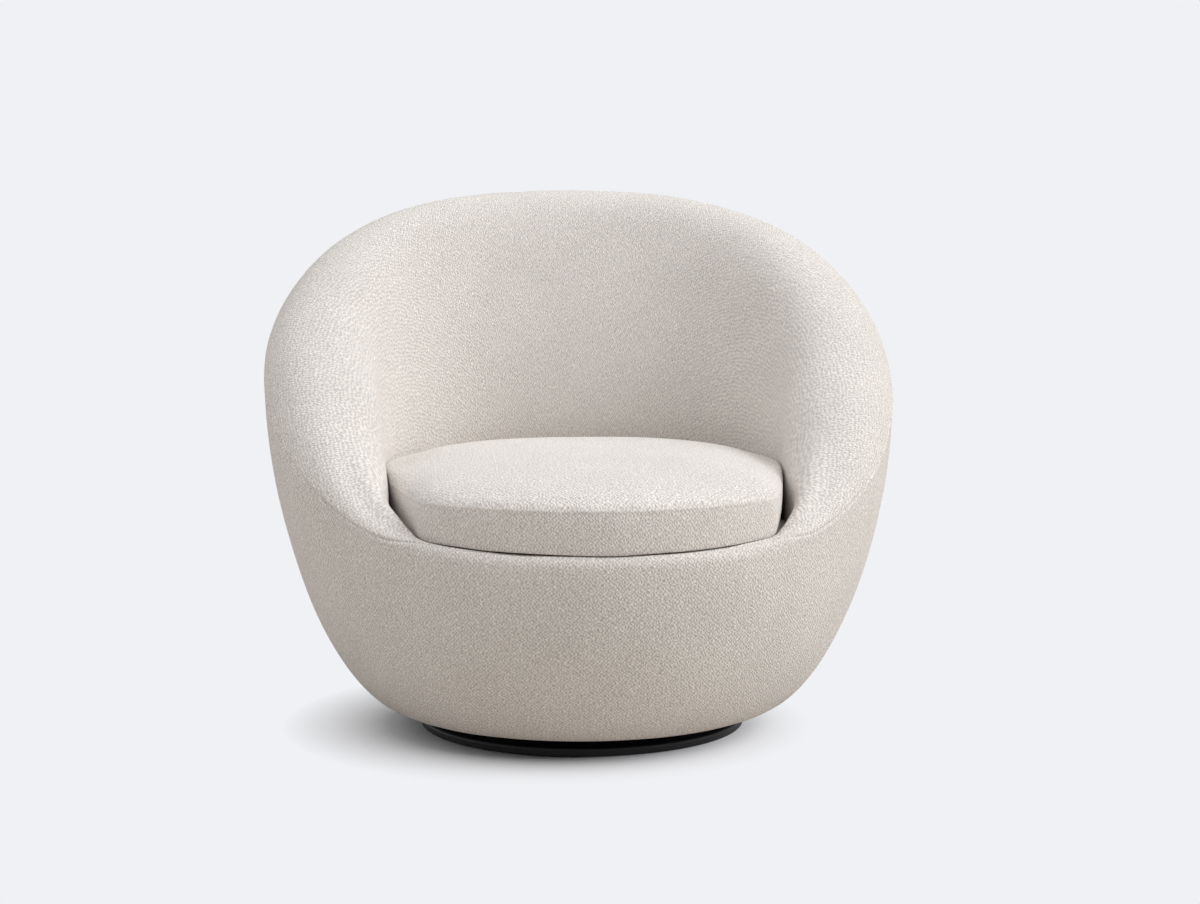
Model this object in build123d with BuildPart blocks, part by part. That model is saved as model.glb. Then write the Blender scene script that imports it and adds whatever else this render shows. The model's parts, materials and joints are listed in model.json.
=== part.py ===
"""Pod chair: an upholstered tub seat that turns on a low round base.

Millimetres, +Z up. The origin is on the floor, on the axis that the tub turns about.
The chair faces -Y, so +X is the sitter's left hand. Angles round the tub run from the
back (0) over the +X side (90) to the front (180).
"""
import os
from math import cos, pi, radians, sin

from build123d import *

os.makedirs("parts", exist_ok=True)

# ---- driving dimensions ------------------------------------------------------------------
# The tub. Each set of four holds the front, the side, the shoulder (45 deg off the back)
# and the back; the surface blends from one to the next.
RIM_R = (394, 435, 433, 394)        # outermost radius, at the height of the rim roll's centre
RIM_Z = (281, 458, 634, 676)        # height of the rim roll's centre
ROLL = (62, 75, 67, 60)             # radius of the rim roll, before it thins out at the front
DRAW_IN = (0, 6, 55, 66)            # how far the inner wall draws in, down to the seat deck
LIP_ROLL = 13                       # radius of the thin lip across the front
ARM_END = radians(96)               # the roll starts to thin here
LIP_START = radians(140)            # and is down to the lip here
FOOT_R = 260                        # where the outer wall ends, under the tub
FOOT_Z = 31
DECK_Z = 250
WALL_POWER = 1.65                   # fullness of the outer wall: 2 is an ellipse, 1 a straight line
ROLL_TURN = radians(150)            # the roll turns this far, and the inner wall sweeps on from it
INNER_LEAVE = 1.1                   # how the sweep leaves the roll and meets the deck,
INNER_MEET = 0.45                   # as shares of its width and its height
ROLL_END = 2.0                      # the wall runs from 0 to 1, the roll from 1 to 2
INNER_END = 2.6                     # and the inner wall from 2 to here
SEAM_AT = 1.05                      # the seam runs along the outside of the roll
SEAM_RISE = 0.5                     # and climbs on top of it at the front, under the cushion,
SEAM_CLIMB = (134, 148)             # between these angles
SIDES = 48
LOWER_BANDS = 8
RIM_BANDS = 8
COVER = 3                           # fabric with its bonded backing
SIDE_SEAM = 16                      # the side seams are this many sides round from the back

FAR = 1000                          # past every edge, for cutting

# The frame inside
BOARD_R = 235
BOARD = 18
SEAT_RING_Z = 214
PLY = 18
RING_HALF = 38
RIM_SLOPE = 0.55                    # the top rail lies in one slanting plane
RIM_SLOPE_Z = 458                   # height of that plane on the axis
RAIL_HALF = 17
RIB = 15
RIB_ANGLES = {"back": (-30, 0, 30), "left": (60, 88, 112), "right": (-60, -88, -112), "front": (145, 180, 215)}
RAIL_END = 115                      # the top rail stops this far round, before the roll thins
OUTER_FOAM = 28
INNER_FOAM = 33
WALL_DEPTH = 110                    # outer surface to the inside of a rib, below the seat
STRAP = 50
STRAP_T = 2
STRAP_PITCH = 72
LONG_STRAPS = 6
CROSS_STRAPS = 6
STRAPS_Y = -50
STRAP_HOLD = 30                     # the straps end this far inside the ring's outer edge
BACK_STRAP_ANGLES = (-75, -45, -15, 15, 45, 75)
DECK_TOP = 299
DECK_CLOTH = 1.5
DECK_GAP = 1
BOARD_TOP = FOOT_Z + BOARD
SEAT_TOP = SEAT_RING_Z + PLY
HOLLOW_Z = (BOARD_TOP, 110, 165, SEAT_RING_Z)

# The base and its swivel
BASE_R = 225
BASE_Z = 1.5
BASE_TOP = 14
BASE_EDGE = 5                       # the rim is rounded by this much
BASE_EDGE_STEPS = 3
GLIDE = 32                          # square felt pads under the base
GLIDES = 6
PLATE = 2.5
PLATE_SIDE = 250
PLATE_CORNER = 20
PLATE_HOLE_R = 60
ROLLER_TRACK_R = 100
ROLLER_PLAY = 0.3
ROLLER_D = FOOT_Z - BASE_TOP - 2 * PLATE - 0.2
ROLLER_L = 14
ROLLERS = 8
ROLLER_Z = (BASE_TOP + FOOT_Z) / 2
CAGE = 5
STUD_D = 12
STUD_Z = 5                          # the stud is screwed into the base plate down to here
STUD_PLAY = 0.1                     # clearance all round in the bush
STUD_PROUD = 2
NUT_R = 10
BUSH_WALL = 3
BUSH_PROUD = 1
NUT_GAP = 0.3
NUT = 9
DUST_CLOTH = 0.5
DUST_GAP = 6

# The loose cushion
CUSHION_HALF = 270                  # half its width
CUSHION_GAP = 5                     # between its rear edge and the inner wall
CUSHION_REAR = (-90, -70, -50, -30, -10, 10, 30, 50, 70, 90)
CUSHION_SIDE_X = 266
CUSHION_SIDE_Y = -140
CUSHION_CORNER_X = 238
CUSHION_CORNER_Y = -279
CUSHION_CORNER = 30
CUSHION_FRONT_Y = -382
CUSHION_MID_Y = -80
CUSHION_SIDES = 40
CORE_SIDES = 20
BAND_SWELL = ((0.965, 0), (0.98, 0.12), (1.0, 0.5), (0.985, 1))   # share of the plan, share of the height
CUSHION_FORWARD = 12                # the underside sits this much further forward than the seam
CUSHION_Z = DECK_TOP + 0.5
CUSHION_SEAM_Z = 353
CUSHION_TOP = 397
CROWN_STEPS = 4
CROWN_TURN = radians(80)
CROWN_POWER = 0.75
CUSHION_COVER = 2
WRAP = 16                           # polyester wadding round the foam core


def by_side(sizes, t):
    """A size at angle t (radians from the back), from its four values round the tub."""
    front, side, shoulder, back = sizes
    mean = ((front + back) / 2 + side) / 2
    pinch = ((front + back) / 2 - side) / 2
    lean = (back - front) / 2
    fullness = (shoulder - mean) / sin(pi / 4)
    first = (lean + fullness) / 2
    third = (lean - fullness) / 2
    return mean + first * cos(t) + pinch * cos(2 * t) + third * cos(3 * t)


def roll_radius(t):
    """Radius of the rim roll: full at the back and the arms, thin across the front."""
    from_back = abs((t + pi) % (2 * pi) - pi)
    thinned = min(1, max(0, (from_back - ARM_END) / (LIP_START - ARM_END)))
    return LIP_ROLL + (by_side(ROLL, t) - LIP_ROLL) * (1 + cos(pi * thinned)) / 2


def deck_radius(t):
    """Where the inner wall ends, beside the seat deck."""
    return by_side(RIM_R, t) - 2 * roll_radius(t) - max(0, by_side(DRAW_IN, t))


def tub_point(t, s, inset):
    """A point of the tub's surface: s runs up the outer wall, over the roll and down inside."""
    rim_r = by_side(RIM_R, t)
    rim_z = by_side(RIM_Z, t)
    roll = roll_radius(t)
    if s <= 1:
        a = s * pi / 2
        foot = FOOT_R - inset
        r = foot + (rim_r - inset - foot) * sin(a) ** (2 / WALL_POWER)
        z = rim_z - (rim_z - FOOT_Z) * cos(a) ** (2 / WALL_POWER)
    elif s <= ROLL_END:
        a = (s - 1) * ROLL_TURN
        r = rim_r - roll + (roll - inset) * cos(a)
        z = rim_z + (roll - inset) * sin(a)
    else:
        down = (s - ROLL_END) / (INNER_END - ROLL_END)
        start_r = rim_r - roll + (roll - inset) * cos(ROLL_TURN)
        start_z = rim_z + (roll - inset) * sin(ROLL_TURN)
        end_r = deck_radius(t) + inset
        leave = INNER_LEAVE * (start_r - end_r)
        meet_z = DECK_Z + INNER_MEET * (start_z - DECK_Z)
        shares = ((1 - down) ** 3, 3 * down * (1 - down) ** 2, 3 * down ** 2 * (1 - down), down ** 3)
        radii = (start_r, start_r - leave * sin(ROLL_TURN), end_r, end_r)
        heights = (start_z, start_z + leave * cos(ROLL_TURN), meet_z, DECK_Z)
        r = sum(share * radius for share, radius in zip(shares, radii))
        z = sum(share * height for share, height in zip(shares, heights))
    return (r * sin(t), r * cos(t), z)


def seam_at(t):
    """Where the seam runs, as a place along the tub's profile."""
    low, high = [radians(degrees) for degrees in SEAM_CLIMB]
    from_back = abs((t + pi) % (2 * pi) - pi)
    climbed = min(1, max(0, (from_back - low) / (high - low)))
    return SEAM_AT + SEAM_RISE * (1 - cos(pi * climbed)) / 2


def tub_rows(over_rim, inset, first=0, last=SIDES):
    """Rows of points round the tub, up the lower covers or over the rim cover."""
    bands = RIM_BANDS if over_rim else LOWER_BANDS
    rows = []
    for band in range(bands + 1):
        row = []
        for i in range(first, last + 1):
            t = 2 * pi * i / SIDES
            start, end = (seam_at(t), INNER_END) if over_rim else (0, seam_at(t))
            row.append(tub_point(t, start + (end - start) * band / bands, inset))
        rows.append(row)
    return rows


def flat_panels(rows):
    """A surface through rows of points, as flat three-sided panels."""
    panels = []
    for low, high in zip(rows, rows[1:]):
        for a, b, c, d in zip(low, low[1:], high[1:], high):
            panels.append(Face(Wire.make_polygon([a, b, c])))
            panels.append(Face(Wire.make_polygon([a, c, d])))
    return panels


def row_face(row):
    return Face(Wire.make_polygon(row[:-1]))


def cover(over_rim, first=0, last=SIDES):
    """A fabric cover between two corners of the tub's plan, hemmed all round."""
    outside = tub_rows(over_rim, 0, first, last)
    inside = tub_rows(over_rim, COVER, first, last)
    hems = flat_panels([outside[0], inside[0]]) + flat_panels([outside[-1], inside[-1]])
    if last - first < SIDES:
        for i in (0, -1):
            hems += flat_panels([[row[i] for row in outside], [row[i] for row in inside]])
    return Solid(Shell(flat_panels(outside) + flat_panels(inside) + hems))


def closed_form(rows):
    """A closed solid of flat panels: the first and the last row are level and get a flat face."""
    return Solid(Shell(flat_panels(rows) + [row_face(rows[0]), row_face(rows[-1])]))


def wall_radius(t, z, inset):
    """Radius of the outer wall at a height, less an inset."""
    rim_r = by_side(RIM_R, t)
    rim_z = by_side(RIM_Z, t)
    along = min(1, max(0, (rim_z - z) / (rim_z - FOOT_Z))) ** (WALL_POWER / 2)
    return FOOT_R + (rim_r - FOOT_R) * (1 - along ** 2) ** (1 / WALL_POWER) - inset


def rail_z(t, r):
    """Height of the top rail's middle plane at a point."""
    return RIM_SLOPE_Z + RIM_SLOPE * r * cos(t)


def rail_radius(t):
    """Radius of the top rail's middle line: the centre of the rim roll."""
    return by_side(RIM_R, t) - roll_radius(t)


def level_row(radius_at, z, sides=SIDES):
    """A level row of points round the axis, with its radius given by a function of the angle."""
    turns = [2 * pi * i / sides for i in range(sides + 1)]
    return [(radius_at(t) * sin(t), radius_at(t) * cos(t), z) for t in turns]


def ring_radius(t):
    """Outer radius of the seat ring: under the inner wall, and clear of the outer one."""
    return min(deck_radius(t) + RING_HALF, wall_radius(t, SEAT_RING_Z, OUTER_FOAM))


def radial_plane(t):
    """The upright plane through the axis at an angle, with its X outward and its Y up."""
    return Plane(origin=(0, 0, 0), x_dir=(sin(t), cos(t), 0), z_dir=(cos(t), -sin(t), 0))


def wall_edge(t, low, high, inset, steps):
    """Points up the outer wall between two heights, as radius and height."""
    heights = [low + (high - low) * k / steps for k in range(steps + 1)]
    return [(wall_radius(t, z, inset), z) for z in heights]


def rib_outline(t):
    """A back or side rib: it stands on the board, carries the seat ring and ends at the rail."""
    outer_r = rail_radius(t) + RAIL_HALF
    inner_r = rail_radius(t) - RAIL_HALF
    outer_edge = wall_edge(t, BOARD_TOP, rail_z(t, outer_r), OUTER_FOAM, 5)[:-1]
    inner_edge = wall_edge(t, BOARD_TOP, SEAT_RING_Z, WALL_DEPTH, 2)[::-1]
    top = [(outer_r, rail_z(t, outer_r)), (inner_r, rail_z(t, inner_r))]
    return outer_edge + top + [(min(deck_radius(t) + INNER_FOAM, inner_r), SEAT_TOP)] + inner_edge


def front_rib_outline(t):
    """A front rib: it ends under the seat ring."""
    outer_edge = wall_edge(t, BOARD_TOP, SEAT_RING_Z, OUTER_FOAM, 3)
    inner_edge = wall_edge(t, BOARD_TOP, SEAT_RING_Z, WALL_DEPTH, 2)[::-1]
    return outer_edge + inner_edge


def loop_face(radius_at):
    """A level face on the floor plane, with its radius given by a function of the angle."""
    return Face(Wire.make_polygon(level_row(radius_at, 0)[:-1]))


# ---- the frame ---------------------------------------------------------------------------
with BuildPart() as bottom_board:
    with BuildSketch(Plane.XY.offset(FOOT_Z)):
        add(loop_face(lambda t: BOARD_R))
        Circle(STUD_D / 2 + BUSH_WALL, mode=Mode.SUBTRACT)
    extrude(amount=BOARD)

with BuildPart() as seat_ring:
    with BuildSketch(Plane.XY.offset(SEAT_RING_Z)):
        add(loop_face(ring_radius))
        add(loop_face(lambda t: ring_radius(t) - 2 * RING_HALF), mode=Mode.SUBTRACT)
    extrude(amount=PLY)

rim_plane = Plane(origin=(0, 0, RIM_SLOPE_Z), x_dir=(1, 0, 0), z_dir=(0, -RIM_SLOPE, 1))
with BuildPart() as top_rail:
    with BuildSketch(Plane.XY):
        add(loop_face(lambda t: rail_radius(t) + RAIL_HALF))
        add(loop_face(lambda t: rail_radius(t) - RAIL_HALF), mode=Mode.SUBTRACT)
    extrude(amount=FAR)
    with BuildSketch(rim_plane.offset(-PLY / 2)):
        Circle(FAR)
    extrude(amount=PLY, mode=Mode.INTERSECT)
    with BuildSketch(Plane.XY):
        with BuildLine():
            far_x = FAR * sin(radians(RAIL_END))
            far_y = FAR * cos(radians(RAIL_END))
            Polyline((0, 0), (far_x, far_y), (0, -FAR), (-far_x, far_y), close=True)
        make_face()
    extrude(amount=FAR, mode=Mode.SUBTRACT)

ribs = {}
for side, angles in RIB_ANGLES.items():
    for place, degrees in enumerate(angles, start=1):
        turn = radians(degrees)
        with BuildPart() as rib:
            with BuildSketch(radial_plane(turn)):
                with BuildLine():
                    Polyline(*(front_rib_outline(turn) if side == "front" else rib_outline(turn)), close=True)
                make_face()
            extrude(amount=RIB / 2, both=True)
            add(seat_ring.part, mode=Mode.SUBTRACT)
            add(top_rail.part, mode=Mode.SUBTRACT)
        ribs[f"{side}_rib_{place}"] = rib

# Elastic straps: two crossing layers under the seat, and upright ones inside the back.
with BuildPart() as seat_straps_long:
    with BuildSketch(Plane.XY.offset(SEAT_TOP)):
        with GridLocations(STRAP_PITCH, 0, LONG_STRAPS, 1):
            Rectangle(STRAP, FAR)
    extrude(amount=STRAP_T)
    with BuildSketch(Plane.XY.offset(SEAT_TOP)):
        add(loop_face(lambda t: ring_radius(t) - STRAP_HOLD))
    extrude(amount=STRAP_T, mode=Mode.INTERSECT)

with BuildPart() as seat_straps_cross:
    with BuildSketch(Plane.XY.offset(SEAT_TOP + STRAP_T)):
        with Locations((0, STRAPS_Y)):
            with GridLocations(0, STRAP_PITCH, 1, CROSS_STRAPS):
                Rectangle(FAR, STRAP)
    extrude(amount=STRAP_T)
    with BuildSketch(Plane.XY.offset(SEAT_TOP + STRAP_T)):
        add(loop_face(lambda t: ring_radius(t) - STRAP_HOLD))
    extrude(amount=STRAP_T, mode=Mode.INTERSECT)

with BuildPart() as back_straps:
    for degrees in BACK_STRAP_ANGLES:
        turn = radians(degrees)
        low = (deck_radius(turn) + INNER_FOAM, SEAT_TOP + 2 * STRAP_T)
        top_r = rail_radius(turn) - RAIL_HALF
        top = (top_r, rail_z(turn, top_r) + PLY / 2)
        with BuildSketch(radial_plane(turn)):
            with BuildLine():
                Polyline(low, top, (top[0] - STRAP_T, top[1]), (low[0] - STRAP_T, low[1]), close=True)
            make_face()
        extrude(amount=STRAP / 2, both=True)
    add(top_rail.part, mode=Mode.SUBTRACT)

# ---- the padding -------------------------------------------------------------------------
with BuildPart() as deck_pad:
    with BuildSketch(Plane.XY.offset(SEAT_TOP + 2 * STRAP_T)):
        add(loop_face(lambda t: deck_radius(t) - DECK_GAP))
    extrude(amount=DECK_TOP - DECK_CLOTH - SEAT_TOP - 2 * STRAP_T)

with BuildPart() as deck_cloth:
    with BuildSketch(Plane.XY.offset(DECK_TOP - DECK_CLOTH)):
        add(loop_face(lambda t: deck_radius(t) - DECK_GAP))
    extrude(amount=DECK_CLOTH)

with BuildPart() as tub_foam:
    add(closed_form(tub_rows(False, COVER) + tub_rows(True, COVER)[1:]))
    hollow = [level_row(lambda t: wall_radius(t, z, WALL_DEPTH), z, SIDES // 2) for z in HOLLOW_Z]
    add(closed_form(hollow), mode=Mode.SUBTRACT)
    with BuildSketch(Plane.XY.offset(FOOT_Z)):
        add(loop_face(lambda t: BOARD_R))
    extrude(amount=BOARD, mode=Mode.SUBTRACT)
    with BuildSketch(Plane.XY.offset(SEAT_RING_Z)):
        add(loop_face(ring_radius))
    extrude(amount=PLY + 2 * STRAP_T, mode=Mode.SUBTRACT)
    with BuildSketch(Plane.XY.offset(SEAT_TOP)):
        add(loop_face(deck_radius))
    extrude(amount=DECK_Z - SEAT_TOP, mode=Mode.SUBTRACT)
    add([rib.part for rib in ribs.values()], mode=Mode.SUBTRACT)
    add([top_rail.part, back_straps.part], mode=Mode.SUBTRACT)

# ---- the covers --------------------------------------------------------------------------
with BuildPart() as rim_cover:
    add(cover(True))

with BuildPart() as outer_front_cover:
    add(cover(False, SIDE_SEAM, SIDES - SIDE_SEAM))

with BuildPart() as outer_back_cover:
    add(cover(False, -SIDE_SEAM, SIDE_SEAM))

with BuildPart() as dust_cover:
    with BuildSketch(Plane.XY.offset(FOOT_Z)):
        add(loop_face(lambda t: FOOT_R - 2 * COVER))
        Rectangle(PLATE_SIDE + 2 * DUST_GAP, PLATE_SIDE + 2 * DUST_GAP, mode=Mode.SUBTRACT)
    extrude(amount=-DUST_CLOTH)

# ---- the base and its swivel -------------------------------------------------------------
with BuildPart() as floor_glides:
    with BuildSketch(Plane.XY):
        with PolarLocations(BASE_R - GLIDE, GLIDES):
            Rectangle(GLIDE, GLIDE)
    extrude(amount=BASE_Z)

base_edge = [(BASE_R - 1, BASE_Z), (BASE_R, BASE_Z + 1)]
for step in range(BASE_EDGE_STEPS + 1):
    turn = step / BASE_EDGE_STEPS * pi / 2
    base_edge.append((BASE_R - BASE_EDGE + BASE_EDGE * cos(turn), BASE_TOP - BASE_EDGE + BASE_EDGE * sin(turn)))
with BuildPart() as base_plate:
    with BuildSketch(Plane.XZ):
        with BuildLine():
            Polyline((0, BASE_Z), *base_edge, (STUD_D / 2, BASE_TOP), (STUD_D / 2, STUD_Z), (0, STUD_Z), close=True)
        make_face()
    revolve(axis=Axis.Z)

with BuildPart() as lower_swivel_plate:
    with BuildSketch(Plane.XY.offset(BASE_TOP)):
        RectangleRounded(PLATE_SIDE, PLATE_SIDE, PLATE_CORNER)
        Circle(PLATE_HOLE_R, mode=Mode.SUBTRACT)
    extrude(amount=PLATE)

with BuildPart() as upper_swivel_plate:
    with BuildSketch(Plane.XY.offset(FOOT_Z - PLATE)):
        RectangleRounded(PLATE_SIDE, PLATE_SIDE, PLATE_CORNER)
        Circle(PLATE_HOLE_R, mode=Mode.SUBTRACT)
    extrude(amount=PLATE)

with BuildPart() as roller_cage:
    with BuildSketch(Plane.XY.offset(ROLLER_Z - CAGE / 2)):
        Circle(ROLLER_TRACK_R + ROLLER_L)
        Circle(ROLLER_TRACK_R - ROLLER_L, mode=Mode.SUBTRACT)
        with PolarLocations(ROLLER_TRACK_R, ROLLERS):
            Rectangle(ROLLER_L + 2 * ROLLER_PLAY, ROLLER_D + 2 * ROLLER_PLAY, mode=Mode.SUBTRACT)
    extrude(amount=CAGE)

with BuildPart() as rollers:
    for i in range(ROLLERS):
        with BuildSketch(radial_plane(2 * pi * i / ROLLERS + pi / 2)) as roller_profile:
            with Locations((ROLLER_TRACK_R, ROLLER_Z + ROLLER_D / 4)):
                Rectangle(ROLLER_L, ROLLER_D / 2)
        spin = Axis((0, 0, ROLLER_Z), radial_plane(2 * pi * i / ROLLERS + pi / 2).x_dir)
        revolve(axis=spin)

with BuildPart() as pivot_bush:
    with BuildSketch(Plane.XY.offset(FOOT_Z)):
        Circle(STUD_D / 2 + BUSH_WALL)
        Circle(STUD_D / 2 + STUD_PLAY, mode=Mode.SUBTRACT)
    extrude(amount=BOARD + BUSH_PROUD)

nut_z = BOARD_TOP + BUSH_PROUD + NUT_GAP
with BuildPart() as pivot_stud:
    with BuildSketch(Plane.XY.offset(STUD_Z)):
        Circle(STUD_D / 2)
    extrude(amount=nut_z + NUT + STUD_PROUD - STUD_Z)

with BuildPart() as lock_nut:
    with BuildSketch(Plane.XY.offset(nut_z)):
        RegularPolygon(NUT_R, 6)
        Circle(STUD_D / 2, mode=Mode.SUBTRACT)
    extrude(amount=NUT)

# ---- the loose cushion -------------------------------------------------------------------
with BuildSketch(Plane.XY) as cushion_plan:
    with BuildLine():
        turns = [radians(degrees) for degrees in CUSHION_REAR]
        rear = [((deck_radius(t) - CUSHION_GAP) * sin(t), (deck_radius(t) - CUSHION_GAP) * cos(t)) for t in turns]
        front_left = (-CUSHION_CORNER_X, CUSHION_CORNER_Y)
        front_right = (CUSHION_CORNER_X, CUSHION_CORNER_Y)
        Spline(*rear)
        ThreePointArc(rear[-1], (CUSHION_SIDE_X, CUSHION_SIDE_Y), front_right)
        ThreePointArc(front_right, (0, CUSHION_FRONT_Y), front_left)
        ThreePointArc(front_left, (-CUSHION_SIDE_X, CUSHION_SIDE_Y), rear[0])
    make_face()
    front_corners = cushion_plan.vertices().sort_by(Axis.Y)[:2]
    fillet(front_corners, CUSHION_CORNER)
cushion_edge = cushion_plan.face().outer_wire()


def cushion_row(inset, share, z, sides):
    """A level row round the cushion's plan, inset from it and drawn in to a share of its size."""
    scale = share * (1 - inset / CUSHION_HALF)
    forward = CUSHION_FORWARD * max(0, CUSHION_SEAM_Z - z) / (CUSHION_SEAM_Z - CUSHION_Z)
    row = []
    for i in range(sides + 1):
        point = cushion_edge @ (i % sides / sides)
        row.append((point.X * scale, CUSHION_MID_Y - forward + (point.Y - CUSHION_MID_Y) * scale, z))
    return row


def band_rows(inset, sides):
    """Rows up the cushion's side band, which swells between its two seams."""
    low = CUSHION_Z + inset
    height = CUSHION_SEAM_Z - low
    return [cushion_row(inset, share, low + up * height, sides) for share, up in BAND_SWELL]


def crown_rows(inset, sides, steps):
    """Rows over the cushion's crown, from the top seam to the flat of the seat."""
    rows = []
    rise = CUSHION_TOP - inset - CUSHION_SEAM_Z
    for k in range(steps + 1):
        a = k / steps * CROWN_TURN
        share = BAND_SWELL[-1][0] * cos(a) ** CROWN_POWER
        rows.append(cushion_row(inset, share, CUSHION_SEAM_Z + rise * sin(a) / sin(CROWN_TURN), sides))
    return rows


with BuildPart() as cushion_top_panel:
    outer, inner = [crown_rows(inset, CUSHION_SIDES, CROWN_STEPS) for inset in (0, CUSHION_COVER)]
    panels = flat_panels(outer) + flat_panels(inner) + flat_panels([outer[0], inner[0]])
    add(Solid(Shell(panels + [row_face(outer[-1]), row_face(inner[-1])])))

with BuildPart() as cushion_side_band:
    outer, inner = [band_rows(inset, CUSHION_SIDES) for inset in (0, CUSHION_COVER)]
    hems = flat_panels([outer[0], inner[0]]) + flat_panels([outer[-1], inner[-1]])
    add(Solid(Shell(flat_panels(outer) + flat_panels(inner) + hems)))

with BuildPart() as cushion_bottom_panel:
    share = BAND_SWELL[0][0]
    add(closed_form([cushion_row(CUSHION_COVER, share, z, CUSHION_SIDES) for z in (CUSHION_Z, CUSHION_Z + CUSHION_COVER)]))

with BuildPart() as cushion_core:
    add(closed_form(band_rows(CUSHION_COVER + WRAP, CORE_SIDES) + crown_rows(CUSHION_COVER + WRAP, CORE_SIDES, 2)[1:]))

with BuildPart() as cushion_wadding:
    add(closed_form(band_rows(2 * CUSHION_COVER, CORE_SIDES) + crown_rows(2 * CUSHION_COVER, CORE_SIDES, 2)[1:]))
    add(cushion_core.part, mode=Mode.SUBTRACT)

# ---- writing the pieces ------------------------------------------------------------------
pieces = {
    "base_plate": base_plate, "floor_glides": floor_glides, "lower_swivel_plate": lower_swivel_plate,
    "pivot_stud": pivot_stud, "lock_nut": lock_nut,
    "roller_cage": roller_cage, "rollers": rollers, "upper_swivel_plate": upper_swivel_plate,
    "pivot_bush": pivot_bush, "bottom_board": bottom_board, "seat_ring": seat_ring,
    "top_rail": top_rail, "seat_straps_long": seat_straps_long,
    "seat_straps_cross": seat_straps_cross, "back_straps": back_straps, "tub_foam": tub_foam,
    "deck_pad": deck_pad, "deck_cloth": deck_cloth, "dust_cover": dust_cover,
    "rim_cover": rim_cover, "outer_front_cover": outer_front_cover,
    "outer_back_cover": outer_back_cover, "cushion_top_panel": cushion_top_panel,
    "cushion_side_band": cushion_side_band, "cushion_bottom_panel": cushion_bottom_panel,
    "cushion_wadding": cushion_wadding, "cushion_core": cushion_core, **ribs,
}
for name, piece in pieces.items():
    piece.part.label = name
    export_step(piece.part, f"parts/{name}.step")
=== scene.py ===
"""Looks of the pod chair: an upholstered tub seat that turns on a low round base.

The scene is in metres, +Z up, with its origin on the floor on the turning axis, and the chair
faces -Y. Sizes of cloth and padding are in mm until a piece is made (MM turns them to metres).
Angles round the tub run from the back (0) over the +X side to the front (180 degrees).
"""
import json
from math import atan2, cos, degrees, exp, hypot, pi, radians, sin, sqrt

import bpy
import numpy as np
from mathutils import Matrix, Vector, noise


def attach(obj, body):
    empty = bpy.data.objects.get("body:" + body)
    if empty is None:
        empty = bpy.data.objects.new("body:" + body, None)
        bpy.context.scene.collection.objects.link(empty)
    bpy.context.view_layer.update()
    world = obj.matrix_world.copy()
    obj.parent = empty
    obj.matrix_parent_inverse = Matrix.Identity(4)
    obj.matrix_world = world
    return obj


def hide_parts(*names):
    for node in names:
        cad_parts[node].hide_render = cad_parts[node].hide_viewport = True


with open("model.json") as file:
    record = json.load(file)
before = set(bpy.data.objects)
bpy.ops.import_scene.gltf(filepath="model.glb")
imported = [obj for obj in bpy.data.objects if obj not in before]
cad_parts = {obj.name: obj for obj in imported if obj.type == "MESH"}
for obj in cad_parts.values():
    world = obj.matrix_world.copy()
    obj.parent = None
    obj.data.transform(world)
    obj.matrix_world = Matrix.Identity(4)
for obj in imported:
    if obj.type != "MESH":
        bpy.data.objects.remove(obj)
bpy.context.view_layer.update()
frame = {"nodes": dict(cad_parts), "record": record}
nodes = frame["nodes"]
scene = bpy.context.scene
MM = 0.001

# ---- the tub's form, as in the CAD, mm -----------------------------------------------------
# Four values are those at the front, the side, the shoulder and the back.
RIM_R = (394, 435, 433, 394)
RIM_Z = (281, 458, 634, 676)
ROLL = (62, 75, 67, 60)             # radius of the rim's roll
DRAW_IN = (0, 6, 55, 66)            # how far the inner wall comes in below the roll
LIP_ROLL = 13                       # radius of the roll at the front lip
ARM_END = radians(96)               # the roll thins from here
LIP_START = radians(140)            # to here
FOOT_R = 260
FOOT_Z = 31
DECK_Z = 250
WALL_POWER = 1.65                   # fullness of the outer wall
ROLL_TURN = radians(150)            # how far round the roll goes before the inner wall leaves it
INNER_LEAVE = 1.1
INNER_MEET = 0.45
ROLL_END = 2.0                      # place along the profile where the roll ends
INNER_END = 2.6                     # and where the inner wall ends
SEAM_AT = 1.05                      # the rim seam's place along the profile
SEAM_RISE = 0.5                     # how far up it moves towards the front lip
SEAM_CLIMB = (134, 148)             # between these angles, degrees
SIDE_SEAM = radians(120)

# ---- what the covers add to that form ------------------------------------------------------
BACK_PADDING = 30                   # fullest extra padding inside the back, mm
BACK_SWELLS = (310, 405)            # it grows between these heights
BACK_FADES = (430, 735)             # and fades out between these
CORNER_PADDING = 21                 # fullest extra padding beside the cushion's front corners
CORNER_SWELLS = (100, 121)          # it grows between these angles, degrees
CORNER_FADES = (132, 146)           # fades out between these
CORNER_TOP = (340, 440)             # and fades out upwards between these heights
PROFILE_STEPS = 240                 # samples along the profile at each angle
WALL_STEPS = 60                     # samples along the roll and the inner wall
NEAR_SEAM = (0, 1, 2, 3.2, 5, 7.5, 11, 16, 24)      # rows beside a seam, mm from it
FAR_ROWS = 22
COLUMNS = 150
WEAVE_R = 380                       # radius at which the weave and the columns are laid out
HEM_IN = (0.995, 0.965)             # the outer covers turn under the tub to these shares
HEM_DOWN = (0.9, 1.0)               # and this far below its foot
HEM_CLOTH = (3, 11)                 # cloth that the two rows of the hem take up

# ---- the cushion, mm -----------------------------------------------------------------------
CUSHION_BOTTOM = 299.5
CUSHION_SEAM_Z = 353
CUSHION_TOP = 397
CUSHION_MID_Y = -80
CUSHION_GAP = 5
CUSHION_SIDE = (266, -140)
CUSHION_CORNER = (238, -279)
CUSHION_FRONT_Y = -382
CUSHION_FORWARD = 12                # the underside lies this far forward of the top
PLAN_STEPS = 720
SOFTEN = 18                         # how many of those steps the corners are softened over
SOFTEN_WIDTH = 7.0


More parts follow.
